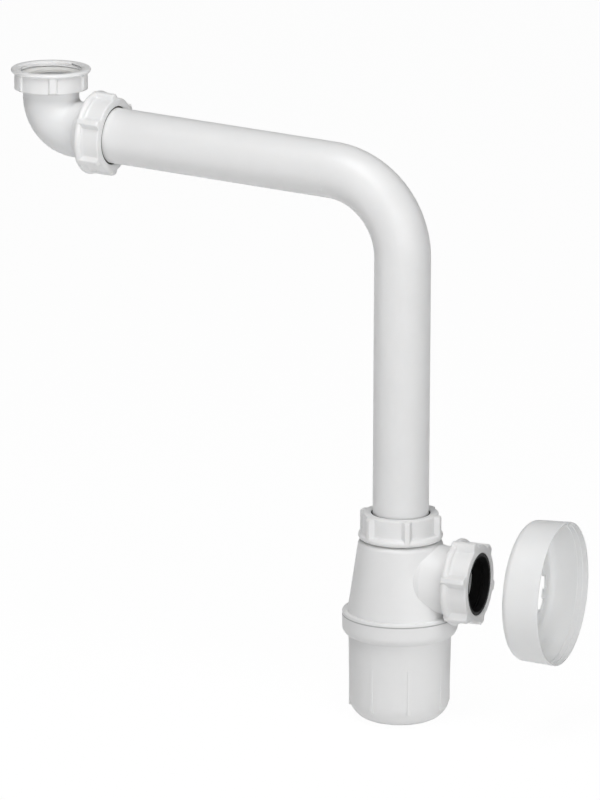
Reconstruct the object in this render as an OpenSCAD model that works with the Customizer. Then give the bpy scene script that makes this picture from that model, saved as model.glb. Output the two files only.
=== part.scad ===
// Space-saving bottle trap for a basin or sink, 40 mm pipe, G 1 1/2 threads.
// Millimetres, +Z up. The origin is the centre of the inlet washer's upper face.
// +X runs along the upper leg from the inlet towards the wall.

/* [Route] */
// Level distance from the inlet axis to the drop axis
reach = 281; // [160:1:400]
// Fall of the upper leg below level, in degrees
fall = 2.5; // [0:0.5:6]
// Height from the corner of the tube down to the trap nut's face
drop = 240; // [140:1:400]
// Depth that the tube reaches below the trap nut's face
insertion = 56; // [35:1:90]
// Heading of the outlet branch from +X towards +Y, in degrees
outlet_heading = 4; // [-60:1:60]

/* [Tube] */
// Outside diameter of the tube
tube_d = 40; // [38:0.5:44]
// Wall of the tube
tube_wall = 2; // [1.2:0.1:3]
// Radius of the tube's bend, at its centre line
bend_r = 58; // [45:1:90]

/* [Compression joints] */
// Outside diameter of the male thread at each socket
thread_d = 47.8; // [47:0.1:56]
// Depth of the thread's form
thread_form = 0.8; // [0.4:0.1:1.4]
// Length of a compression nut
nut_len = 18.8; // [15:0.1:26]
// Wall of a nut around its thread
nut_wall = 2.7; // [2:0.1:4]
// Thickness of a nut's front ring
nut_lip = 2.4; // [1.5:0.1:4]
// How far the bead at the open end stands out from the nut's wall
nut_bead = 3.2; // [1.5:0.1:5]
// Height of that bead
bead_h = 5.2; // [3:0.1:7]
// Grip ribs round a nut
rib_count = 6; // [4:1:12]
// Height of a grip rib
rib_h = 3.3; // [2:0.1:5]
// Width of a grip rib at its crest
rib_w = 3.2; // [2:0.1:8]
// Wall of the outlet nut, which is the stoutest
outlet_nut_wall = 3.6; // [2.7:0.1:5]
// Height of the outlet nut's grip ribs
outlet_rib_h = 4.4; // [2:0.1:6]
// Gap between the tube and the hole of its nut
nut_hole_gap = 1.2; // [0.8:0.1:2]
// Gap between the wall pipe and the hole of the outlet nut
outlet_hole_gap = 2.5; // [1.5:0.1:2.6]
// Thickness of a slip ring
slip_t = 1.2; // [0.8:0.1:2]
// Length of a seal's cone inside its socket
seal_len = 9; // [6:0.5:12]

/* [Inlet] */
// Least diameter of the inlet nut's thread
inlet_thread_d = 44.8; // [44:0.1:50]
// Depth of the inlet nut's thread down to the washer
inlet_depth = 4; // [3:0.1:12]
// Wall of the inlet nut around its thread
inlet_nut_wall = 4; // [3:0.1:6]
// How far the rim round the inlet nut's mouth stands out from that wall
inlet_rim_step = 2.3; // [1:0.1:4]
// Height of that rim
inlet_rim_h = 3.2; // [2:0.1:5]
// Thickness of the ring at the inlet nut's foot
inlet_lip = 3; // [2:0.1:5]
// Height of the inlet nut's grip ribs
inlet_rib_h = 1.3; // [0.6:0.1:2]
// Width of those ribs at their crest
inlet_rib_w = 4.8; // [2:0.1:8]
// Thickness of the inlet washer
washer_t = 3; // [1.5:0.1:4]
// Hole through the inlet washer
washer_hole_d = 33; // [26:0.5:36]
// Thickness of the collar at the top of the elbow
collar_t = 4.8; // [3:0.1:7]

/* [Elbow] */
// Outside diameter of the elbow
elbow_d = 40.4; // [38:0.1:41]
// Wall of the elbow
elbow_wall = 2.6; // [1.8:0.1:3.4]
// Radius of the elbow's inner corner
elbow_throat_r = 2.2; // [0.6:0.1:12]
// Height from the elbow's corner up to the washer's upper face
elbow_rise = 38.4; // [36:0.1:70]
// Distance from the elbow's corner to its nut's face
elbow_run = 52.3; // [50:0.1:80]
// Length of the band between the elbow and its socket
band_len = 5.5; // [3:0.1:10]
// How far that band stands out from the elbow
band_step = 1; // [0.4:0.1:2]

/* [Trap body] */
// Outside diameter at the shoulder under the trap nut
shoulder_d = 60.8; // [58:0.1:70]
// Outside diameter at the foot of the cone
cone_foot_d = 74.6; // [72:0.1:84]
// Wall of the body
body_wall = 2.6; // [2:0.1:3.4]
// Outside diameter of the collar that joins the body and the cup
collar_d = 82.4; // [80:0.1:94]
// Thickness of the body's part of that collar
flange_t = 2.5; // [1.6:0.1:5]
// Gap between the foot of the trap nut and the outlet branch
outlet_gap = 2.9; // [2.6:0.1:20]
// Height of the outlet axis above the seam of body and cup
outlet_rise = 27.7; // [27:0.1:60]
// Distance from the drop axis to the outlet nut's face
outlet_run = 60.6; // [58:0.1:90]
// Outside diameter of the outlet branch
branch_d = 48.2; // [47.8:0.1:56]
// Distance from the drop axis to the stop for the wall pipe
outlet_stop = 34.4; // [32:0.1:36]
// Depth of the dip tube's mouth below the trap nut's face
dip_depth = 122; // [100:1:132]
// Wall of the dip tube
dip_wall = 2.4; // [1.5:0.1:3]

/* [Cup] */
// Height of the cup below the seam
cup_h = 77.1; // [60:0.1:130]
// Outside diameter of the cup below its collar
cup_d = 73.2; // [70:0.1:80]
// Taper of the cup's radius from its collar to its foot
cup_draft = 0.8; // [0:0.1:2]
// Wall of the cup
cup_wall = 2.6; // [1.8:0.1:3.4]
// Radius of the cup's bottom corner
cup_corner_r = 16; // [6:0.5:17]
// Straight height of the cup's collar
cup_collar_h = 8.8; // [8:0.1:14]
// Radius of the round at the collar's lower edge
collar_round = 6.2; // [5:0.1:12]
// Length of the body's threaded skirt inside the cup
skirt_len = 7; // [6:0.1:7.2]
// Thickness of the ring seal in the cup
cup_seal_t = 2.4; // [1.6:0.1:2.6]
// Fins round the foot of the cup
fin_count = 8; // [4:1:16]
// Width of a fin
fin_w = 2.7; // [1.5:0.1:4]
// Height of a fin
fin_h = 33; // [12:0.5:34]
// Height of a fin's lower end above the cup's bottom
fin_foot = 11; // [8:0.1:16]

/* [Rosette] */
// Outside diameter of the rosette's rim
rosette_d = 102.2; // [88:0.1:120]
// Depth of the rosette
rosette_depth = 28.5; // [24:0.5:36]
// Wall of the rosette
rosette_wall = 1.6; // [1.2:0.1:2]
// Distance from the drop axis to the rosette's rim
rosette_at = 123.5; // [112:0.1:170]
// Depth of the rosette's web from its rim
web_depth = 21.5; // [16:0.5:24]
// Width of the flat ring outside the tabs
web_rim = 5; // [3:0.5:8]
// Tabs round the rosette's hole
tab_count = 8; // [6:1:12]
// Angle that a tab spans, in degrees
tab_span = 18; // [14:1:24]
// Length of a tab
tab_len = 3.9; // [3:0.1:6]

/* [Hidden] */
$fn = 96;

// Clearances between pieces
face_gap = 0.1;      // between flat faces that turn on each other
slide_gap = 0.06;    // between a seal and the tube that runs through it
loose_gap = 0.35;    // between round faces that only pass each other
pipe_gap = 0.3;      // between a socket's bore and its pipe
cut = 1;             // how far a cutting shape runs past what it cuts
lap = 0.2;           // how far a straight length of pipe runs into its bend
draw_in = 0.03;      // how much a pipe draws in round its bend
edge = 0.6;          // size of the small edges that are broken

// The tube and the nuts' threads
tube_r = tube_d / 2;
bore_r = tube_r + pipe_gap;
thread_r = thread_d / 2;
core_r = thread_r - thread_form;
nut_bore_r = thread_r + loose_gap;
nut_wall_r = nut_bore_r + nut_wall;
outlet_nut_r = nut_bore_r + outlet_nut_wall;
nut_round = 1;
rib_flank = 0.6;     // how far each flank of a rib leans out, as a share of its height
rib_margin = 0.4;    // from a nut's faces to the ends of its ribs
nut_hole_r = tube_r + nut_hole_gap;
outlet_hole_r = tube_r + outlet_hole_gap;

// Depths below a nut's face, in the order in which the pieces lie in it
nose_top = 0.4;
slip_top = nut_lip + face_gap;
seal_top = slip_top + slip_t + face_gap;
seal_head = 1.2;     // thickness of a seal's head
mouth = seal_top + seal_head + face_gap;
seat_end = mouth + seal_len;
socket_foot = nut_len + edge;
nose_gap = 0.2;      // between a seal's nose and the hole it lines
seat_wall = 1;       // wall of a socket at its mouth
seat_r = core_r - seat_wall;
seat_step = 0.5;     // how far the foot of the seat stands out from the bore
seat_foot_r = bore_r + seat_step;

// The route of the tube
elbow_z = -elbow_rise;
corner_z = elbow_z - reach * tan(fall);
leg_len = reach / cos(fall);
turn = 90 - fall;
bend_run = bend_r * tan(turn / 2);
stop_depth = 3.1;    // how far the tube's stop lies past the foot of the seat
tube_stop = seat_end + stop_depth;
tube_start = elbow_run - leg_len - tube_stop + face_gap;
trap_z = corner_z - drop;

// The elbow
elbow_r = elbow_d / 2;
elbow_bore_r = elbow_r - elbow_wall;
elbow_bend_r = elbow_r + elbow_throat_r;
elbow_bend_run = elbow_bend_r * tan(turn / 2);
inlet_thread_r = inlet_thread_d / 2;
collar_r = inlet_thread_r - loose_gap;
relief = 1.2;        // how far the room round the washer stands out from the thread
inlet_nut_len = inlet_depth + washer_t + face_gap + collar_t + face_gap + inlet_lip;

// The trap body and the cup, as depths below the trap nut's face
shoulder_drop = 0.3; // from the foot of the socket down to the shoulder
branch_r = branch_d / 2;
outlet_depth = socket_foot + outlet_gap + branch_r;
seam = outlet_depth + outlet_rise;
cone_top = socket_foot + shoulder_drop;
cone_foot = seam - flange_t;
flange_round = 0.4 * flange_t;
shoulder_r = shoulder_d / 2;
shoulder_round = 4;
foot_r = cone_foot_d / 2;
flange_r = collar_d / 2;
dip_gap = 0.6;       // between the tube and the dip tube round it
dip_bore_r = tube_r + dip_gap;
dip_r = dip_bore_r + dip_wall;
cup_r = cup_d / 2;
cup_bore_r = cup_r - cup_wall;
cup_collar_wall = 2.75;
cup_thread_r = flange_r - cup_collar_wall;
skirt_r = cup_thread_r - loose_gap - thread_form / 2;
skirt_wall = 3.2;
ledge = skirt_len + 2 * face_gap + cup_seal_t;
cup_foot_r = cup_r - cup_draft;
water_r = tube_r - tube_wall;
flare = 2.4;         // how far the outlet branch widens towards the cone
flare_run = 17;      // length over which it widens
flare_arc = (flare_run * flare_run + flare * flare) / (2 * flare);

// The rosette
rosette_r = rosette_d / 2;
rosette_round = 6;
rosette_draft = 1;
rim_step = 3.8;      // height of each thin step inside the rim
dish_slope = 22;     // slope of the dished face, in degrees
tab_hole_r = tube_r + slide_gap;
web_r = tab_hole_r + tab_len + web_rim;

// Clocking of the parts that screw on, in degrees
inlet_nut_clock = 1.5;
elbow_nut_clock = 4;
trap_nut_clock = 5;
outlet_nut_clock = 14;
cup_clock = 37;
rosette_clock = 25;

// Points on an arc of a section, from one angle to another
arc_steps = 12;
function arc(centre, r, from, to) = [
    for (i = [0 : arc_steps])
        centre + r * [cos(from + (to - from) * i / arc_steps),
                      sin(from + (to - from) * i / arc_steps)]];

// Frames that the pieces are drawn in: local +Z points out of the socket.
module at_leg(run) {
    translate([reach, 0, corner_z])
        rotate([0, 90 + fall, 0])
            translate([0, 0, run])
                children();
}
module at_elbow_nut() {
    at_leg(elbow_run - leg_len)
        children();
}
module at_trap_nut() {
    translate([reach, 0, trap_z])
        children();
}
module at_outlet(run) {
    translate([reach, 0, trap_z - outlet_depth])
        rotate([0, 0, outlet_heading])
            rotate([0, 90, 0])
                translate([0, 0, run])
                    children();
}

// A ring between two depths below the local origin
module ring(r_out, r_in, top, foot) {
    translate([0, 0, -foot])
        difference() {
            cylinder(r = r_out, h = foot - top);
            translate([0, 0, -cut])
                cylinder(r = r_in, h = foot - top + 2 * cut);
        }
}

// A bend drawn in the XZ plane about the local origin, with its first end on +X
module bend(radius, r, angle) {
    rotate([90, 0, 0])
        rotate_extrude(angle = angle)
            translate([radius, 0])
                circle(r = r);
}

// A box whose corner at the upper right is rounded, for the section of a turned part
module rounded_band(r_in, r_out, foot, top, round) {
    translate([r_in, foot])
        square([r_out - round - r_in, top - foot]);
    translate([r_in, foot])
        square([r_out - r_in, top - round - foot]);
    translate([r_out - round, top - round])
        circle(r = round);
}

// Section of a compression nut, with its face on the local X axis
module nut_section(hole_r, wall_r) {
    bead_top = bead_h - nut_len;
    bead_mid = wall_r + nut_bead - bead_h / 2;
    difference() {
        union() {
            rounded_band(hole_r, wall_r, -nut_len, 0, nut_round);
            translate([nut_bore_r, -nut_len])
                square([bead_mid - nut_bore_r, bead_h]);
            translate([bead_mid, bead_h / 2 - nut_len])
                circle(r = bead_h / 2);
            polygon([
                [wall_r - cut, bead_top + nut_bead / 2],
                [wall_r, bead_top + nut_bead / 2],
                [bead_mid, bead_top],
                [wall_r - cut, bead_top]]);
        }
        translate([0, -nut_len - cut])
            square([nut_bore_r, nut_len + cut - nut_lip]);
    }
}

// Grip ribs: tapered bars round a nut's wall, with both ends rounded off
module grip_ribs(wall_r, height, width, round, top, foot, clock) {
    crest_r = wall_r + height;
    root_r = wall_r - cut;
    root_w = width + 2 * rib_flank * (height + cut);
    difference() {
        intersection() {
            for (k = [0 : rib_count - 1])
                rotate([0, 0, clock + k * 360 / rib_count])
                    translate([0, 0, -foot])
                        linear_extrude(height = foot - top)
                            polygon([
                                [root_r, -root_w / 2],
                                [crest_r, -width / 2],
                                [crest_r, width / 2],
                                [root_r, root_w / 2]]);
            rotate_extrude() {
                rounded_band(0, crest_r, -foot + round, -top, round);
                translate([0, -foot])
                    square([crest_r - round, foot - top - round]);
                translate([crest_r - round, -foot + round])
                    circle(r = round);
            }
        }
        translate([0, 0, -foot - cut])
            cylinder(r = wall_r - cut / 2, h = foot - top + 2 * cut);
    }
}

module compression_nut(hole_r, wall_r, rib, clock) {
    end_round = 1.6;
    rotate_extrude()
        nut_section(hole_r, wall_r);
    grip_ribs(wall_r, rib, rib_w, end_round, rib_margin, nut_len - rib_margin, clock);
}

module slip_ring(hole_r) {
    ring(thread_r, hole_r, slip_top, slip_top + slip_t);
}

// A rubber ring: a nose in the nut's hole, a head under the slip ring, and a cone in the seat
module cone_seal(hole_r) {
    inner = tube_r + slide_gap;
    head_foot = -seal_top - seal_head;
    tip = -seat_end + face_gap;
    groove = 0.5;
    lip_pitch = 1.9;
    rotate_extrude()
        difference() {
            polygon([
                [inner, -nose_top],
                [hole_r - nose_gap, -nose_top],
                [hole_r - nose_gap, -seal_top],
                [core_r, -seal_top],
                [core_r, head_foot],
                [seat_r - face_gap, head_foot],
                [seat_r - face_gap, -mouth],
                [seat_foot_r - face_gap, tip],
                [inner, tip]]);
            for (k = [0 : 1])
                translate([inner, -mouth - k * lip_pitch])
                    polygon([[-groove, groove], [groove, 0], [-groove, -groove]]);
        }
}

// The outside of a socket: a threaded core from its mouth to its foot
module socket_core(foot) {
    translate([0, 0, -foot])
        cylinder(r = core_r, h = foot - mouth - edge);
    translate([0, 0, -mouth - edge])
        cylinder(r1 = core_r, r2 = core_r - edge / 2, h = edge);
}

// The inside of a socket: a conical seat for the seal, then a bore down to a stop
module socket_bore(stop) {
    translate([0, 0, -seat_end])
        cylinder(r1 = seat_foot_r, r2 = seat_r, h = seat_end - mouth);
    translate([0, 0, -mouth])
        cylinder(r = seat_r, h = cut);
    translate([0, 0, -stop])
        cylinder(r = bore_r, h = stop - seat_end + cut);
}

// The nut that screws onto the basin's waste, open side up
module inlet_nut() {
    wall_r = inlet_thread_r + inlet_nut_wall;
    bead_r = inlet_rim_h / 2;
    bead_mid = wall_r + inlet_rim_step - bead_r;
    bead_z = inlet_depth - bead_r;
    entry = 1.2;
    entry_flare = 2;
    lip_r = elbow_r + loose_gap;
    foot = inlet_nut_len - inlet_depth;
    color("white") {
        rotate_extrude()
            difference() {
                union() {
                    translate([lip_r, -foot])
                        square([wall_r - lip_r, foot + bead_z]);
                    translate([lip_r, inlet_depth - inlet_rim_h])
                        square([bead_mid - lip_r, inlet_rim_h]);
                    translate([bead_mid, bead_z])
                        circle(r = bead_r);
                }
                translate([0, -cut])
                    square([inlet_thread_r, inlet_depth + 2 * cut]);
                translate([0, inlet_lip - foot])
                    square([inlet_thread_r + relief, foot - inlet_lip]);
                polygon([
                    [0, inlet_depth - entry],
                    [inlet_thread_r, inlet_depth - entry],
                    [inlet_thread_r + entry_flare, inlet_depth + face_gap],
                    [0, inlet_depth + face_gap]]);
            }
        translate([0, 0, inlet_depth])
            grip_ribs(wall_r, inlet_rib_h, inlet_rib_w, inlet_rib_h, bead_r,
                inlet_nut_len - rib_margin, inlet_nut_clock);
    }
}

// The sealing washer on top of the elbow's collar, dished towards its hole
module inlet_washer() {
    hole_r = washer_hole_d / 2;
    dish = 1;
    flat_r = (collar_r + hole_r) / 2;
    color("ghostwhite")
        rotate_extrude()
            polygon([
                [hole_r, -washer_t],
                [collar_r, -washer_t],
                [collar_r, 0],
                [flat_r, 0],
                [hole_r, -dish]]);
}

// Elbow with a collar for the inlet nut and a threaded socket for the tube
module inlet_elbow() {
    module turned_pipe(r) {
        translate([elbow_bend_r, 0, neck_foot])
            rotate([0, 180, 0])
                bend(elbow_bend_r, r - draw_in, turn);
    }
    band_lap = 1.5;
    band_slope = 2;
    collar_top = washer_t + face_gap;
    neck_foot = elbow_z + elbow_bend_run;
    band_r = elbow_r + band_step;
    band_foot = socket_foot + band_len - band_lap;
    color("white")
        difference() {
            union() {
                rotate_extrude()
                    rounded_band(elbow_bore_r, collar_r, -collar_top - collar_t, -collar_top, edge);
                translate([0, 0, neck_foot - lap])
                    cylinder(r = elbow_r, h = -collar_top - neck_foot);
                turned_pipe(elbow_r);
                at_leg(-leg_len + elbow_bend_run - lap)
                    cylinder(r = elbow_r, h = elbow_run - elbow_bend_run - socket_foot);
                at_elbow_nut() {
                    socket_core(socket_foot - band_lap / 2);
                    translate([0, 0, -band_foot])
                        cylinder(r = band_r, h = band_len);
                    translate([0, 0, -band_foot - band_slope])
                        cylinder(r1 = elbow_r, r2 = band_r, h = band_slope);
                }
            }
            translate([0, 0, neck_foot - lap])
                cylinder(r = elbow_bore_r, h = -neck_foot);
            turned_pipe(elbow_bore_r);
            at_leg(-leg_len + elbow_bend_run - lap)
                cylinder(r = elbow_bore_r, h = elbow_run - elbow_bend_run - mouth);
            at_elbow_nut()
                socket_bore(tube_stop);
        }
}
module elbow_slip_ring() {
    color("ghostwhite")
        at_elbow_nut()
            slip_ring(nut_hole_r);
}
module elbow_nut() {
    color("white")
        at_elbow_nut()
            compression_nut(nut_hole_r, nut_wall_r, rib_h, elbow_nut_clock);
}
module elbow_seal() {
    color("dimgray")
        at_elbow_nut()
            cone_seal(nut_hole_r);
}

// The long tube: upper leg, bend and drop
module bent_tube() {
    module path(r, over) {
        at_leg(tube_start - over)
            cylinder(r = r, h = -bend_run - tube_start + over + lap);
        translate([reach - bend_r, 0, corner_z - bend_run])
            bend(bend_r, r - draw_in, turn);
        translate([reach, 0, trap_z - insertion - over])
            cylinder(r = r, h = drop + insertion - bend_run + over + lap);
    }
    color("white")
        difference() {
            path(tube_r, 0);
            path(tube_r - tube_wall, cut);
        }
}
module trap_seal() {
    color("black")
        at_trap_nut()
            cone_seal(nut_hole_r);
}
module trap_slip_ring() {
    color("ghostwhite")
        at_trap_nut()
            slip_ring(nut_hole_r);
}
module trap_nut() {
    color("white")
        at_trap_nut()
            compression_nut(nut_hole_r, nut_wall_r, rib_h, trap_nut_clock);
}

// Body of the trap: socket, cone, dip tube, outlet branch and threaded skirt in one moulding
module trap_body() {
    branch_foot = outlet_run - socket_foot;
    color("white") {
        difference() {
            union() {
                at_trap_nut() {
                    socket_core(cone_top);
                    rotate_extrude() {
                        polygon([
                            [0, -cone_foot],
                            [foot_r, -cone_foot],
                            [shoulder_r, -cone_top - shoulder_round],
                            [0, -cone_top - shoulder_round]]);
                        translate([0, -cone_top - shoulder_round])
                            square([shoulder_r - shoulder_round, shoulder_round]);
                        translate([shoulder_r - shoulder_round, -cone_top - shoulder_round])
                            circle(r = shoulder_round);
                        rounded_band(0, flange_r, -seam, -cone_foot, flange_round);
                        translate([0, -seam - skirt_len])
                            square([skirt_r, skirt_len + cut]);
                    }
                }
                at_outlet(branch_foot)
                    rotate_extrude()
                        difference() {
                            translate([0, -branch_foot])
                                square([branch_r + flare, branch_foot]);
                            translate([branch_r + flare_arc, 0])
                                circle(r = flare_arc);
                        }
                at_outlet(outlet_run)
                    socket_core(socket_foot + cut);
            }
            // The cavity under the cone, round the dip tube
            at_trap_nut()
                difference() {
                    rotate_extrude()
                        polygon([
                            [0, -seam - skirt_len - cut],
                            [skirt_r - skirt_wall, -seam - skirt_len - cut],
                            [skirt_r - skirt_wall, -seam],
                            [foot_r - body_wall, -cone_foot],
                            [shoulder_r - body_wall, -cone_top - shoulder_round / 2 - body_wall],
                            [0, -cone_top - shoulder_round / 2 - body_wall]]);
                    translate([0, 0, -dip_depth])
                        cylinder(r = dip_r, h = dip_depth);
                }
            // The tube's way in, and the dip tube's bore
            at_trap_nut() {
                socket_bore(seat_end + cut);
                translate([0, 0, -dip_depth - cut])
                    cylinder(r = dip_bore_r, h = dip_depth + cut - seat_end);
            }
            // The outlet's waterway, and its socket for the wall pipe
            difference() {
                at_outlet(dip_bore_r)
                    cylinder(r = water_r, h = outlet_run - dip_bore_r - mouth);
                at_trap_nut()
                    translate([0, 0, -dip_depth])
                        cylinder(r = dip_r, h = dip_depth);
            }
            at_outlet(outlet_run)
                socket_bore(outlet_run - outlet_stop);
        }
        at_trap_nut()
            ring(dip_r, dip_bore_r, cone_foot, dip_depth);
    }
}
module outlet_seal() {
    color("black")
        at_outlet(outlet_run)
            cone_seal(outlet_hole_r);
}
module outlet_slip_ring() {
    color("ghostwhite")
        at_outlet(outlet_run)
            slip_ring(outlet_hole_r);
}
module outlet_nut() {
    color("white")
        at_outlet(outlet_run)
            compression_nut(outlet_hole_r, outlet_nut_r, outlet_rib_h, outlet_nut_clock);
}

// Flat ring that the body's skirt presses onto the ledge in the cup
module cup_seal() {
    top = seam + skirt_len + face_gap;
    color("dimgray")
        at_trap_nut()
            ring(skirt_r, skirt_r - skirt_wall, top, top + cup_seal_t);
}

// Section of the room inside the cup, with the wider bore of its thread on top
module cup_cavity_section() {
    wall_top = seam + cup_collar_h + collar_round;
    bottom = seam + cup_h;
    corner_z = -bottom + cup_corner_r;
    inner_corner = cup_corner_r - cup_wall;
    translate([0, -seam - ledge])
        square([cup_thread_r, ledge + cut]);
    polygon([
        [0, -seam - ledge + cut],
        [cup_bore_r, -seam - ledge + cut],
        [cup_bore_r, -wall_top],
        [cup_foot_r - cup_wall, corner_z],
        [0, corner_z]]);
    translate([0, -bottom + cup_wall])
        square([cup_foot_r - cup_corner_r, inner_corner + cut]);
    translate([cup_foot_r - cup_corner_r, corner_z])
        circle(r = inner_corner);
}

// Section of the cup's outside: collar, wall and rounded foot
module cup_outer_section() {
    rim = seam + face_gap;
    collar_foot = seam + cup_collar_h;
    bottom = seam + cup_h;
    corner_z = -bottom + cup_corner_r;
    translate([0, -collar_foot])
        square([flange_r, collar_foot - rim]);
    translate([flange_r - collar_round, -collar_foot])
        circle(r = collar_round);
    polygon([
        [0, -collar_foot + lap],
        [cup_r, -collar_foot + lap],
        [cup_r, -collar_foot - collar_round],
        [cup_foot_r, corner_z],
        [0, corner_z]]);
    translate([0, -bottom])
        square([cup_foot_r - cup_corner_r, cup_corner_r]);
    translate([cup_foot_r - cup_corner_r, corner_z])
        circle(r = cup_corner_r);
}

// The cup that unscrews for cleaning
module bottle_cup() {
    fin_stand = 0.6;
    fin_root = cup_foot_r - cup_corner_r / 2;
    fin_bottom = -seam - cup_h + fin_foot;
    color("white")
        at_trap_nut()
            difference() {
                union() {
                    rotate_extrude()
                        cup_outer_section();
                    for (k = [0 : fin_count - 1])
                        rotate([0, 0, cup_clock + k * 360 / fin_count])
                            translate([fin_root, -fin_w / 2, fin_bottom])
                                cube([cup_foot_r + fin_stand - fin_root, fin_w, fin_h]);
                }
                rotate_extrude()
                    cup_cavity_section();
            }
}

// The cover for the hole in the wall: a deep cap whose face is dished in to a tabbed hole
module wall_rosette() {
    web = -web_depth;
    side_r = rosette_r - rosette_draft;
    curl_r = side_r - rosette_round;
    curl_z = rosette_round - rosette_depth;
    dish = -90 - dish_slope;
    w = rosette_wall;
    step = w / 4;
    color("whitesmoke")
        at_outlet(rosette_at)
            difference() {
                rotate_extrude()
                    polygon(concat(
                        [[rosette_r, 0], [side_r, curl_z]],
                        arc([curl_r, curl_z], rosette_round, 0, dish),
                        [[web_r, web - w], [tab_hole_r, web - w],
                         [tab_hole_r, web], [web_r + step, web]],
                        arc([curl_r, curl_z], rosette_round - w, dish, 0),
                        [[rosette_r - w, -2 * rim_step],
                         [rosette_r - 3 * step, -2 * rim_step],
                         [rosette_r - 3 * step, -rim_step],
                         [rosette_r - 2 * step, -rim_step],
                         [rosette_r - 2 * step, 0]]));
                for (k = [0 : tab_count - 1])
                    rotate([0, 0, rosette_clock + tab_span / 2 + k * 360 / tab_count])
                        translate([0, 0, web - w - cut])
                            rotate_extrude(angle = 360 / tab_count - tab_span)
                                translate([tab_hole_r - cut, 0])
                                    square([tab_len + cut, w + 2 * cut]);
            }
}

inlet_nut();
inlet_washer();
inlet_elbow();
elbow_slip_ring();
elbow_nut();
elbow_seal();
bent_tube();
trap_seal();
trap_slip_ring();
trap_nut();
trap_body();
outlet_seal();
outlet_slip_ring();
outlet_nut();
cup_seal();
bottle_cup();
wall_rosette();
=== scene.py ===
# Looks, light and camera for the waste trap. Metres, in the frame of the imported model.
import math

import bpy
from mathutils import Matrix, Vector


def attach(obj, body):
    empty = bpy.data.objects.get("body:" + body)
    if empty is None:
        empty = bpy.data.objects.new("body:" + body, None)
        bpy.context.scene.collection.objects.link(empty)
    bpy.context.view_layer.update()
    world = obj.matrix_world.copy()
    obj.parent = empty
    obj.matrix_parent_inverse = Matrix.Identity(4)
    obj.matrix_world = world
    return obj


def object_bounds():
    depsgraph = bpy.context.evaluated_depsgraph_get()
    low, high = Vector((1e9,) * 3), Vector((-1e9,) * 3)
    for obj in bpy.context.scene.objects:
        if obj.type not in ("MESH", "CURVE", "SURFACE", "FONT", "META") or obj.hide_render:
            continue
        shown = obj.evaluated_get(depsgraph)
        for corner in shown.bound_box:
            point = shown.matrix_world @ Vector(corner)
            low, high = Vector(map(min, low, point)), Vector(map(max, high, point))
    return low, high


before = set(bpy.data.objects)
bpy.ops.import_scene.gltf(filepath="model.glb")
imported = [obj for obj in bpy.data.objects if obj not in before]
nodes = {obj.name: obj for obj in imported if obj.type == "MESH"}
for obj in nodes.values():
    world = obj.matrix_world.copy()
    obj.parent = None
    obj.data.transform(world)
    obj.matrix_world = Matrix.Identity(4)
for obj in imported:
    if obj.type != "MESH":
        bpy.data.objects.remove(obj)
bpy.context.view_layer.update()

# Places of the joints, as in the part's source
FALL = math.radians(2.5)
HEADING = math.radians(4)
REACH = 0.281
ELBOW_Z = -0.0384
CORNER_Z = ELBOW_Z - REACH * math.tan(FALL)
TRAP_Z = CORNER_Z - 0.24
OUTLET_Z = TRAP_Z - 0.0464
SEAM = 0.0741
LEG = Vector((math.cos(FALL), 0, -math.sin(FALL)))
OUT = Vector((math.cos(HEADING), math.sin(HEADING), 0))
CORNER = Vector((REACH, 0, CORNER_Z))
ELBOW_FACE = CORNER + LEG * (0.0523 - REACH / math.cos(FALL))
TRAP_FACE = Vector((REACH, 0, TRAP_Z))
OUTLET_FACE = Vector((REACH, 0, OUTLET_Z)) + OUT * 0.0606
ROSETTE_RIM = Vector((REACH, 0, OUTLET_Z)) + OUT * 0.1235


def look_frame(azimuth, elevation, roll=0.0):
    """Right, up and back of a camera that looks from that side."""
    a, e, r = (math.radians(v) for v in (azimuth, elevation, roll))
    back = Vector((math.sin(a) * math.cos(e), -math.cos(a) * math.cos(e), math.sin(e)))
    right = Vector((math.cos(a), math.sin(a), 0))
    up = back.cross(right)
    return (math.cos(r) * right + math.sin(r) * up,
            -math.sin(r) * right + math.cos(r) * up, back)


# Camera: long lens at the photograph's angle, on the 800 px side of the frame
right, up, back = look_frame(26.739, 14.326, 0.212)
flat_right, flat_up, _ = look_frame(26.739, 14.326)
cam_data = bpy.data.cameras.new("camera")
cam_data.sensor_fit = "VERTICAL"
cam_data.sensor_height = 36
cam_data.lens = 6718.402 * 36 / 800
cam_data.clip_start = 0.5
cam_data.clip_end = 40
cam = bpy.data.objects.new("camera", cam_data)
bpy.context.scene.collection.objects.link(cam)
place = CORNER + back * 4.70308 + flat_right * -0.0717 + flat_up * -0.15346
cam.matrix_world = Matrix((
    (right.x, up.x, back.x, place.x),
    (right.y, up.y, back.y, place.y),
    (right.z, up.z, back.z, place.z),
    (0, 0, 0, 1)))
bpy.context.scene.camera = cam


# Materials
def new_material(name):
    m = bpy.data.materials.new(name)
    m.use_nodes = True
    nt = m.node_tree
    nt.nodes.clear()
    out = nt.nodes.new("ShaderNodeOutputMaterial")
    bsdf = nt.nodes.new("ShaderNodeBsdfPrincipled")
    nt.links.new(bsdf.outputs["BSDF"], out.inputs["Surface"])
    return m, nt, bsdf


def object_coord(nt, offset):
    tc = nt.nodes.new("ShaderNodeTexCoord")
    mp = nt.nodes.new("ShaderNodeMapping")
    mp.inputs["Location"].default_value = (offset, offset * 0.7, -offset)
    nt.links.new(tc.outputs["Object"], mp.inputs["Vector"])
    return mp.outputs["Vector"]


def noise(nt, coord, scale, detail=3.0, rough=0.5):
    n = nt.nodes.new("ShaderNodeTexNoise")
    n.inputs["Scale"].default_value = scale
    n.inputs["Detail"].default_value = detail
    n.inputs["Roughness"].default_value = rough
    nt.links.new(coord, n.inputs["Vector"])
    return n.outputs["Fac"]


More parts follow.
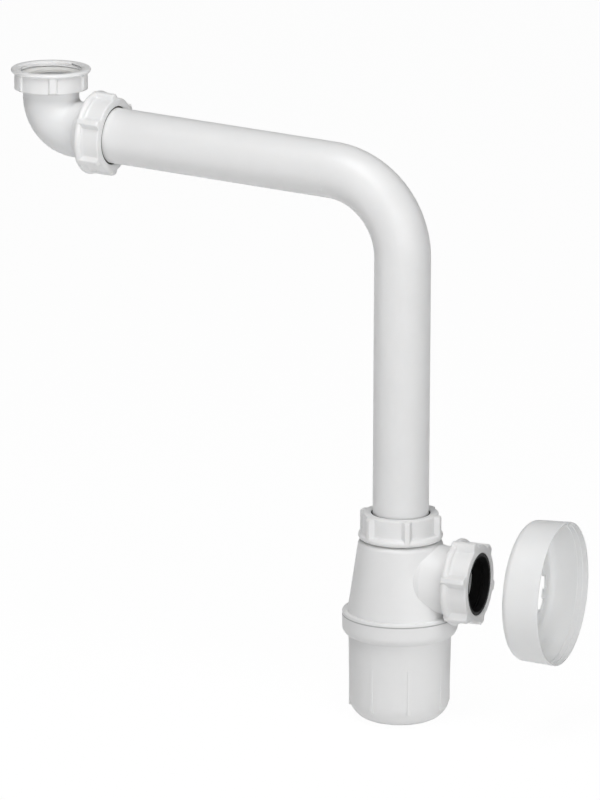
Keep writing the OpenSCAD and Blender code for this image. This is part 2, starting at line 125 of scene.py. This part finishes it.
def ramp(nt, fac, stops):
    r = nt.nodes.new("ShaderNodeValToRGB")
    e = r.color_ramp.elements
    while len(e) < len(stops):
        e.new(0.5)
    for el, (pos, col) in zip(e, stops):
        el.position = pos
        el.color = (*col, 1)
    nt.links.new(fac, r.inputs["Fac"])
    return r.outputs["Color"]


def spread(nt, fac, low, high):
    r = nt.nodes.new("ShaderNodeMapRange")
    r.inputs["From Min"].default_value = 0.3
    r.inputs["From Max"].default_value = 0.7
    r.inputs["To Min"].default_value = low
    r.inputs["To Max"].default_value = high
    nt.links.new(fac, r.inputs["Value"])
    return r.outputs["Result"]


def bump(nt, height, strength, distance, normal=None):
    b = nt.nodes.new("ShaderNodeBump")
    b.inputs["Strength"].default_value = strength
    b.inputs["Distance"].default_value = distance
    nt.links.new(height, b.inputs["Height"])
    if normal is not None:
        nt.links.new(normal, b.inputs["Normal"])
    return b.outputs["Normal"]


def painted_seam_shadow(nt, colour, o):
    """Painted shadow: darkens the plastic beside the thin gap between the body's flange and the cup, where the gap's
    shade falls.
    """
    inv = o.matrix_world.inverted()
    axis = (inv.to_3x3() @ Vector((0, 0, 1))).normalized()
    level = (inv @ Vector((REACH, 0, TRAP_Z - SEAM))).dot(axis)
    tc = nt.nodes.new("ShaderNodeTexCoord")
    height = nt.nodes.new("ShaderNodeVectorMath")
    height.operation = "DOT_PRODUCT"
    height.inputs[1].default_value = tuple(axis)
    nt.links.new(tc.outputs["Object"], height.inputs[0])
    above = nt.nodes.new("ShaderNodeMath")
    above.operation = "SUBTRACT"
    above.inputs[1].default_value = level
    nt.links.new(height.outputs["Value"], above.inputs[0])
    away = nt.nodes.new("ShaderNodeMath")
    away.operation = "ABSOLUTE"
    nt.links.new(above.outputs[0], away.inputs[0])
    near = nt.nodes.new("ShaderNodeMapRange")
    near.inputs["From Min"].default_value = 0.00015
    near.inputs["From Max"].default_value = 0.0006
    near.inputs["To Min"].default_value = 0.65
    near.inputs["To Max"].default_value = 0
    nt.links.new(away.outputs[0], near.inputs["Value"])
    # Painted shadow colour, mixed in close to the seam
    mix = nt.nodes.new("ShaderNodeMix")
    mix.data_type = "RGBA"
    mix.inputs[7].default_value = (0.22, 0.22, 0.22, 1)
    nt.links.new(near.outputs["Result"], mix.inputs[0])
    nt.links.new(colour, mix.inputs[6])
    return mix.outputs[2]


def moulded(name, tone, tint, rough, soft, offset, edge=0.0, grain=0.5, wave=0.0, seam_shadow_of=None,
            depth=0.003):
    """Moulded plastic: faint flow marks in the colour, satin patches, fine grain, softened edges."""
    m, nt, bsdf = new_material(name)
    at = object_coord(nt, offset)
    flow = noise(nt, at, 16, 4, 0.6)
    low = tuple(t * 0.985 * tone for t in tint)
    high = tuple(min(1, t * 1.01 * tone) for t in tint)
    colour = ramp(nt, flow, [(0.35, low), (0.62, high)])
    # Painted shadow line along the seam between the body's flange and the cup
    if seam_shadow_of:
        colour = painted_seam_shadow(nt, colour, nodes[seam_shadow_of])
    nt.links.new(colour, bsdf.inputs["Base Color"])
    satin = noise(nt, at, 55, 5, 0.6)
    nt.links.new(spread(nt, satin, rough - 0.04, rough + 0.06), bsdf.inputs["Roughness"])
    normal = None
    if edge:
        soft_edge = nt.nodes.new("ShaderNodeBevel")
        soft_edge.samples = 8
        soft_edge.inputs["Radius"].default_value = edge
        normal = soft_edge.outputs["Normal"]
    if wave:
        normal = bump(nt, noise(nt, at, 42, 1), wave, 0.0006, normal)
    normal = bump(nt, noise(nt, at, 2600, 2), grain, 0.00004, normal)
    nt.links.new(normal, bsdf.inputs["Normal"])
    bsdf.inputs["IOR"].default_value = 1.49
    bsdf.inputs["Specular IOR Level"].default_value = 0.5
    bsdf.inputs["Subsurface Weight"].default_value = soft
    bsdf.inputs["Subsurface Radius"].default_value = (1.0, 0.95, 0.9)
    bsdf.inputs["Subsurface Scale"].default_value = depth
    return m


def rubber(name, tone, offset):
    m, nt, bsdf = new_material(name)
    at = object_coord(nt, offset)
    bloom = noise(nt, at, 130, 5, 0.65)
    nt.links.new(ramp(nt, bloom, [(0.3, tuple(t * 0.8 for t in tone)), (0.75, tuple(t * 1.5 for t in tone))]),
                 bsdf.inputs["Base Color"])
    nt.links.new(spread(nt, noise(nt, at, 220, 4), 0.5, 0.68), bsdf.inputs["Roughness"])
    nt.links.new(bump(nt, noise(nt, at, 1800, 3), 0.6, 0.00005), bsdf.inputs["Normal"])
    bsdf.inputs["IOR"].default_value = 1.45
    bsdf.inputs["Specular IOR Level"].default_value = 0.3
    return m


WHITE = (0.99, 0.99, 0.99)
trap_white = moulded("trap_white", 0.84, WHITE, 0.40, 0.3, 0.0, edge=0.0006)
elbow_white = moulded("elbow_white", 0.88, WHITE, 0.48, 0.6, 1.3, edge=0.0006, grain=0.7, depth=0.006)
# Body and cup carry a painted shadow line at their seam
body_white = moulded("body_white", 0.84, WHITE, 0.42, 0.2, 2.2, edge=0.0006, seam_shadow_of="trap_body")
cup_white = moulded("cup_white", 0.84, WHITE, 0.42, 0.15, 4.4, edge=0.0004, seam_shadow_of="bottle_cup")
nut_white = moulded("nut_white", 0.85, WHITE, 0.38, 0.35, 3.1, edge=0.0011)
tube_white = moulded("tube_white", 0.83, WHITE, 0.38, 0.25, 7.7, grain=0.3)
washer_white = moulded("washer_white", 0.80, (1.0, 0.99, 0.965), 0.45, 0.35, 5.2)
milky = moulded("rosette_milky", 0.90, (0.985, 0.99, 0.99), 0.40, 0.35, 9.4, edge=0.0003, grain=0.4, depth=0.0015)
black_rubber = rubber("black_rubber", (0.0015, 0.0015, 0.0015), 1.0)
olive_rubber = rubber("olive_rubber", (0.020, 0.021, 0.013), 4.0)

LOOK = {
    "inlet_nut": nut_white, "elbow_nut": nut_white, "trap_nut": nut_white, "outlet_nut": nut_white,
    "inlet_elbow": elbow_white, "trap_body": body_white, "bottle_cup": cup_white,
    "bent_tube": tube_white,
    "inlet_washer": washer_white, "elbow_slip_ring": washer_white,
    "trap_slip_ring": washer_white, "outlet_slip_ring": washer_white,
    "elbow_seal": olive_rubber, "trap_seal": black_rubber, "outlet_seal": black_rubber,
    "cup_seal": black_rubber, "wall_rosette": milky,
}
for name, o in nodes.items():
    o.data.materials.clear()
    o.data.materials.append(LOOK[name])


# Small pieces that the solids leave out: screw threads, parting lines and the marks of moulding
def joint_frame(origin, axis):
    z = axis.normalized()
    x = Vector((0, 0, -1)) if abs(z.z) < 0.9 else Vector((1, 0, 0))
    x = (x - z * x.dot(z)).normalized()
    y = z.cross(x)
    return Matrix((
        (x.x, y.x, z.x, origin.x),
        (x.y, y.y, z.y, origin.y),
        (x.z, y.z, z.z, origin.z),
        (0, 0, 0, 1)))


def add_piece(name, verts, faces, body, material, smooth=True):
    mesh = bpy.data.meshes.new(name)
    mesh.from_pydata([tuple(v) for v in verts], [], faces)
    mesh.validate()
    if smooth:
        mesh.shade_smooth()
    mesh.materials.append(material)
    o = bpy.data.objects.new(name, mesh)
    bpy.context.scene.collection.objects.link(o)
    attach(o, body)
    return o


def sweep(rings, closed_ends=True):
    """A skin over rings of equally many points, each ring closed."""
    n = len(rings[0])
    verts = [p for ring in rings for p in ring]
    faces = []
    for i in range(len(rings) - 1):
        for j in range(n):
            k = (j + 1) % n
            faces.append((i * n + j, i * n + k, (i + 1) * n + k, (i + 1) * n + j))
    if closed_ends:
        faces.append(tuple(reversed(range(n))))
        last = (len(rings) - 1) * n
        faces.append(tuple(last + j for j in range(n)))
    return verts, faces


def thread(name, at, root, crest, pitch, low, high, shift, body, material, step=5):
    """A right-handed screw ridge on a round wall, which fades out at both ends. Root and crest are radii."""
    sign = 1 if crest > root else -1
    half_root, half_crest = 0.30 * pitch, 0.09 * pitch
    turns = (high - low) / pitch
    count = max(12, int(turns * 360 / step))
    rings = []
    for i in range(count + 1):
        angle = turns * 2 * math.pi * i / count
        z = low + pitch * (angle / (2 * math.pi)) + shift * pitch
        fade = min(1, i / (count * 0.5 / max(turns, 0.6)) / 0.35, (count - i) / (count * 0.5 / max(turns, 0.6)) / 0.35)
        top = root + (crest - root) * (0.12 + 0.88 * min(1, fade))
        bed = root - sign * 0.00015
        section = [(bed, -half_root), (root, -half_root), (top, -half_crest),
                   (top, half_crest), (root, half_root), (bed, half_root)]
        rings.append([at @ Vector((r * math.cos(angle), r * math.sin(angle), z + dz)) for r, dz in section])
    verts, faces = sweep(rings)
    return add_piece(name, verts, faces, body, material)


PITCH = 0.002309
CUP_PITCH = 0.005
elbow_at = joint_frame(ELBOW_FACE, LEG)
trap_at = joint_frame(TRAP_FACE, Vector((0, 0, 1)))
outlet_at = joint_frame(OUTLET_FACE, OUT)
inlet_at = joint_frame(Vector((0, 0, 0)), Vector((0, 0, 1)))
thread("inlet_nut_thread", inlet_at, 0.0224, 0.0219, PITCH, 0.0001, 0.0029, 0.0, "inlet", nut_white, 4)
for label, at, body, nut_body in (("elbow", elbow_at, "elbow", "elbow_nut"), ("trap", trap_at, "trap", "trap_nut"),
                                  ("outlet", outlet_at, "trap", "outlet_nut")):
    thread(label + "_socket_thread", at, 0.0231, 0.0239, PITCH, -0.0178, -0.0062, 0.0, body, trap_white)
    thread(label + "_nut_thread", at, 0.02425, 0.0236, PITCH, -0.0180, -0.0070, 0.5, nut_body, nut_white)
seam_at = joint_frame(TRAP_FACE - Vector((0, 0, SEAM)), Vector((0, 0, 1)))
thread("skirt_thread", seam_at, 0.0377, 0.0382, CUP_PITCH, -0.0058, -0.0014, 0.0, "trap", trap_white)


def strip(name, path, normals, width, height, body, material):
    """A thin raised line along a path on a surface."""
    rings = []
    for i, (p, n) in enumerate(zip(path, normals)):
        a = path[max(i - 1, 0)]
        b = path[min(i + 1, len(path) - 1)]
        side = (b - a).normalized().cross(n).normalized()
        f = min(1, 0.15 + 4 * min(i, len(path) - 1 - i) / max(1, len(path) - 1))
        rings.append([p - side * width / 2 - n * 0.0001, p - side * width / 5 + n * height * f,
                      p + side * width / 5 + n * height * f, p + side * width / 2 - n * 0.0001])
    verts, faces = sweep(rings)
    return add_piece(name, verts, faces, body, material)


# Parting line of the elbow, in its plane of symmetry
elbow_r = 0.0202
bend_r = 0.0224
turn = math.radians(87.5)
bend_run = bend_r * math.tan(turn / 2)
mid = Vector((bend_r, 0, ELBOW_Z + bend_run))
path, normals = [Vector((-elbow_r, 0, -0.0125))], [Vector((-1, 0, 0))]
for i in range(25):
    a = turn * i / 24
    n = Vector((-math.cos(a), 0, -math.sin(a)))
    path.append(mid + n * (bend_r + elbow_r))
    normals.append(n)
down = Vector((-math.sin(FALL), 0, -math.cos(FALL)))
path.append(ELBOW_FACE - LEG * 0.0262 + down * elbow_r)
normals.append(down)
strip("elbow_parting_line", path, normals, 0.0005, 0.00009, "elbow", trap_white)

# Parting line of the trap body, opposite the outlet
a_back = HEADING + math.pi
radial = Vector((math.cos(a_back), math.sin(a_back), 0))
slope = Vector((0.0373 - 0.0304, 0, -(0.0716 - 0.0237)))
tilt = math.atan2(slope.x, -slope.z)
n_cone = (radial * math.cos(tilt) + Vector((0, 0, 1)) * math.sin(tilt)).normalized()
path, normals = [], []
for i in range(9):
    t = 0.04 + 0.92 * i / 8
    r = 0.0304 + (0.0373 - 0.0304) * t
    z = TRAP_Z - 0.0237 - (0.0716 - 0.0237) * t
    path.append(Vector((REACH, 0, z)) + radial * r)
    normals.append(n_cone)
strip("body_parting_line", path, normals, 0.0005, 0.00009, "trap", trap_white)


def button(name, at, radius, height, body, material, sides=28):
    """A low round mark with a rounded edge, standing on a flat place."""
    rings = []
    for r, z in ((radius, -0.00015), (radius, height * 0.45), (radius * 0.86, height * 0.85), (radius * 0.6, height)):
        rings.append([at @ Vector((r * math.cos(2 * math.pi * j / sides), r * math.sin(2 * math.pi * j / sides), z))
                      for j in range(sides)])
    verts, faces = sweep(rings)
    return add_piece(name, verts, faces, body, material)


# Gate mark under the cup
button("cup_gate", joint_frame(Vector((REACH, 0, TRAP_Z - SEAM - 0.0771 + 0.00012)), Vector((0, 0, -1))),
       0.0017, 0.0001, "cup", trap_white)

# Fine sealing rings on the washer
for i, r in enumerate((0.0199, 0.0209)):
    rings = []
    for k in range(97):
        a = 2 * math.pi * k / 96
        c = Vector((math.cos(a), math.sin(a), 0))
        rings.append([c * (r - 0.00022) + Vector((0, 0, -0.00006)), c * r + Vector((0, 0, 0.00016)),
                      c * (r + 0.00022) + Vector((0, 0, -0.00006))])
    verts, faces = sweep(rings, closed_ends=False)
    add_piece("washer_ring_%d" % (i + 1), verts, faces, "inlet", washer_white)

# Floor, white to the camera, with a light trace of the object's shadow
low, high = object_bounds()
floor_mesh = bpy.data.meshes.new("floor")
S = 9.0
floor_mesh.from_pydata([(-S, -S, 0), (S, -S, 0), (S, S, 0), (-S, S, 0)], [], [(0, 1, 2, 3)])
floor = bpy.data.objects.new("floor", floor_mesh)
floor.location = (0.2, 0, low[2] - 0.0005)
bpy.context.scene.collection.objects.link(floor)
m = bpy.data.materials.new("floor_white")
m.use_nodes = True
nt = m.node_tree
nt.nodes.clear()
out = nt.nodes.new("ShaderNodeOutputMaterial")
diff = nt.nodes.new("ShaderNodeBsdfDiffuse")
diff.inputs["Color"].default_value = (0.9, 0.9, 0.9, 1)
glow = nt.nodes.new("ShaderNodeEmission")
glow.inputs["Color"].default_value = (1, 1, 1, 1)
glow.inputs["Strength"].default_value = 1.02
path = nt.nodes.new("ShaderNodeLightPath")
most = nt.nodes.new("ShaderNodeMath")
most.operation = "MAXIMUM"
nt.links.new(path.outputs["Is Camera Ray"], most.inputs[0])
nt.links.new(path.outputs["Is Transmission Ray"], most.inputs[1])
also = nt.nodes.new("ShaderNodeMath")
also.operation = "MAXIMUM"
nt.links.new(most.outputs[0], also.inputs[0])
nt.links.new(path.outputs["Is Glossy Ray"], also.inputs[1])
share = nt.nodes.new("ShaderNodeMath")
share.operation = "MULTIPLY"
share.inputs[1].default_value = 0.95
nt.links.new(also.outputs[0], share.inputs[0])
mix = nt.nodes.new("ShaderNodeMixShader")
nt.links.new(share.outputs[0], mix.inputs["Fac"])
nt.links.new(diff.outputs[0], mix.inputs[1])
nt.links.new(glow.outputs[0], mix.inputs[2])
nt.links.new(mix.outputs[0], out.inputs["Surface"])
floor_mesh.materials.append(m)

# World: white to the camera, a plain soft studio to the object, darker at both sides
world = bpy.data.worlds.new("studio")
bpy.context.scene.world = world
world.use_nodes = True
nt = world.node_tree
nt.nodes.clear()
out = nt.nodes.new("ShaderNodeOutputWorld")
room = nt.nodes.new("ShaderNodeBackground")
white = nt.nodes.new("ShaderNodeBackground")
white.inputs["Color"].default_value = (1, 1, 1, 1)
white.inputs["Strength"].default_value = 1.0
geo = nt.nodes.new("ShaderNodeTexCoord")
side = nt.nodes.new("ShaderNodeVectorMath")
side.operation = "DOT_PRODUCT"
side.inputs[1].default_value = tuple(right)
nt.links.new(geo.outputs["Generated"], side.inputs[0])
grey = nt.nodes.new("ShaderNodeValToRGB")
shift = nt.nodes.new("ShaderNodeMapRange")
shift.inputs["From Min"].default_value = -1
shift.inputs["From Max"].default_value = 1
shift.inputs["To Min"].default_value = 0
shift.inputs["To Max"].default_value = 1
nt.links.new(side.outputs["Value"], shift.inputs["Value"])
nt.links.new(shift.outputs["Result"], grey.inputs["Fac"])
grey.color_ramp.interpolation = "EASE"
stops = grey.color_ramp.elements
stops[0].position = 0.0
stops[0].color = (0.05, 0.05, 0.05, 1)
stops[1].position = 1.0
stops[1].color = (0.03, 0.03, 0.03, 1)
middle = stops.new(0.5)
middle.color = (0.23, 0.23, 0.23, 1)
nt.links.new(grey.outputs["Color"], room.inputs["Color"])
room.inputs["Strength"].default_value = 1.0
path = nt.nodes.new("ShaderNodeLightPath")
most = nt.nodes.new("ShaderNodeMath")
most.operation = "MAXIMUM"
nt.links.new(path.outputs["Is Camera Ray"], most.inputs[0])
nt.links.new(path.outputs["Is Transmission Ray"], most.inputs[1])
mix = nt.nodes.new("ShaderNodeMixShader")
nt.links.new(most.outputs[0], mix.inputs["Fac"])
nt.links.new(room.outputs[0], mix.inputs[1])
nt.links.new(white.outputs[0], mix.inputs[2])
nt.links.new(mix.outputs[0], out.inputs["Surface"])


def softbox(name, azimuth, elevation, distance, size, power, aim):
    _, _, toward = look_frame(azimuth, elevation)
    data = bpy.data.lights.new(name, "AREA")
    data.shape = "SQUARE"
    data.size = size
    data.energy = power
    o = bpy.data.objects.new(name, data)
    bpy.context.scene.collection.objects.link(o)
    o.location = aim + toward * distance
    o.rotation_euler = toward.to_track_quat("Z", "Y").to_euler()
    return o


MIDDLE = Vector((0.2, 0, -0.2))
softbox("key", 24, 60, 1.3, 0.8, 11.6, Vector((0.1, 0, -0.03)))
softbox("fill", -35, -25, 0.45, 0.4, 0.36, Vector((0.01, 0, -0.04)))
softbox("front", 36, 14, 2.8, 1.4, 14.8, MIDDLE)
softbox("side", 60, 15, 2.8, 1.2, 15.5, MIDDLE)

bpy.context.scene.view_settings.view_transform = "Standard"
